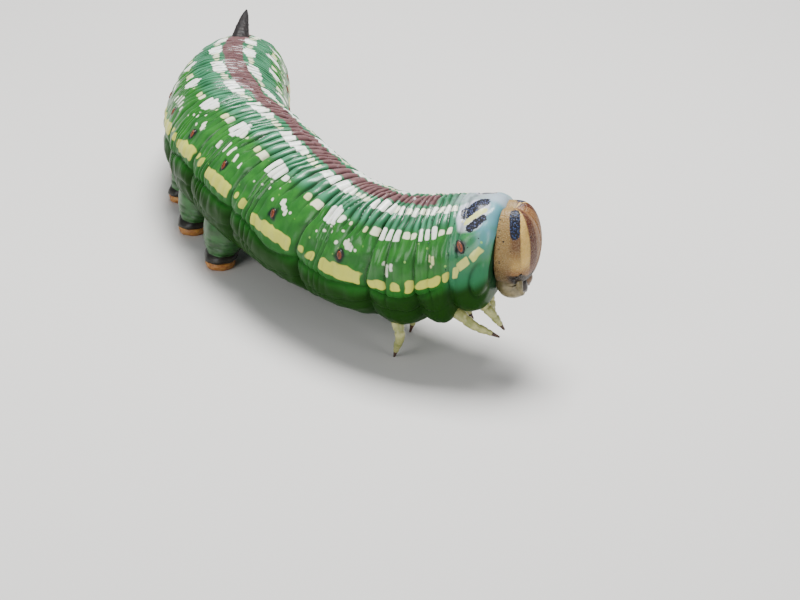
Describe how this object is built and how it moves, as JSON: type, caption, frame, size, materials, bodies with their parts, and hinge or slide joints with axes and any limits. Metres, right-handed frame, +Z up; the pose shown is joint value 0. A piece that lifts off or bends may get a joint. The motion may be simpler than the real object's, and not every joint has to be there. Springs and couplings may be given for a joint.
{
  "type": "pine hawk-moth larva",
  "caption": "Full-grown hawk-moth larva, green with white and cream stripes, a banded tan head and a dark tail horn, in a curved resting pose.",
  "frame": {"origin": "middle of the bounding box at the floor the larva stands on", "axes": "+Z up; +Y from the thorax towards the tail; +X to the side that the head points to; the right side of the body faces -Y and -X"},
  "size_m": [0.0348, 0.0576, 0.0159],
  "materials": {
    "skin": "smooth, slightly glossy skin, green with white, cream and mauve markings",
    "head": "hard, fine-grained capsule, tan with brown and cream bands and a blue-black dash",
    "mouth": "hard and dark",
    "pale": "pale cream-green with brown tips",
    "foot": "folded dark green skin with a black ring and an orange-brown sole",
    "horn": "rough and almost black"
  },
  "bodies": {
    "root": {"abdomen_1": "skin", "abdomen_10": "skin", "abdomen_2": "skin", "abdomen_3": "skin", "abdomen_4": "skin", "abdomen_5": "skin", "abdomen_6": "skin", "abdomen_7": "skin", "abdomen_8": "skin", "abdomen_9": "skin", "anal_clasper_left": "foot", "anal_clasper_right": "foot", "antenna_left": "pale", "antenna_right": "pale", "head": "head", "horn": "horn", "labium": "pale", "labrum": "pale", "leg_1_left": "pale", "leg_1_right": "pale", "leg_2_left": "pale", "leg_2_right": "pale", "leg_3_left": "pale", "leg_3_right": "pale", "mandible_left": "mouth", "mandible_right": "mouth", "proleg_3_left": "foot", "proleg_3_right": "foot", "proleg_4_left": "foot", "proleg_4_right": "foot", "proleg_5_left": "foot", "proleg_5_right": "foot", "proleg_6_left": "foot", "proleg_6_right": "foot", "thorax_1": "skin", "thorax_2": "skin", "thorax_3": "skin"}
  },
  "joints": []
}
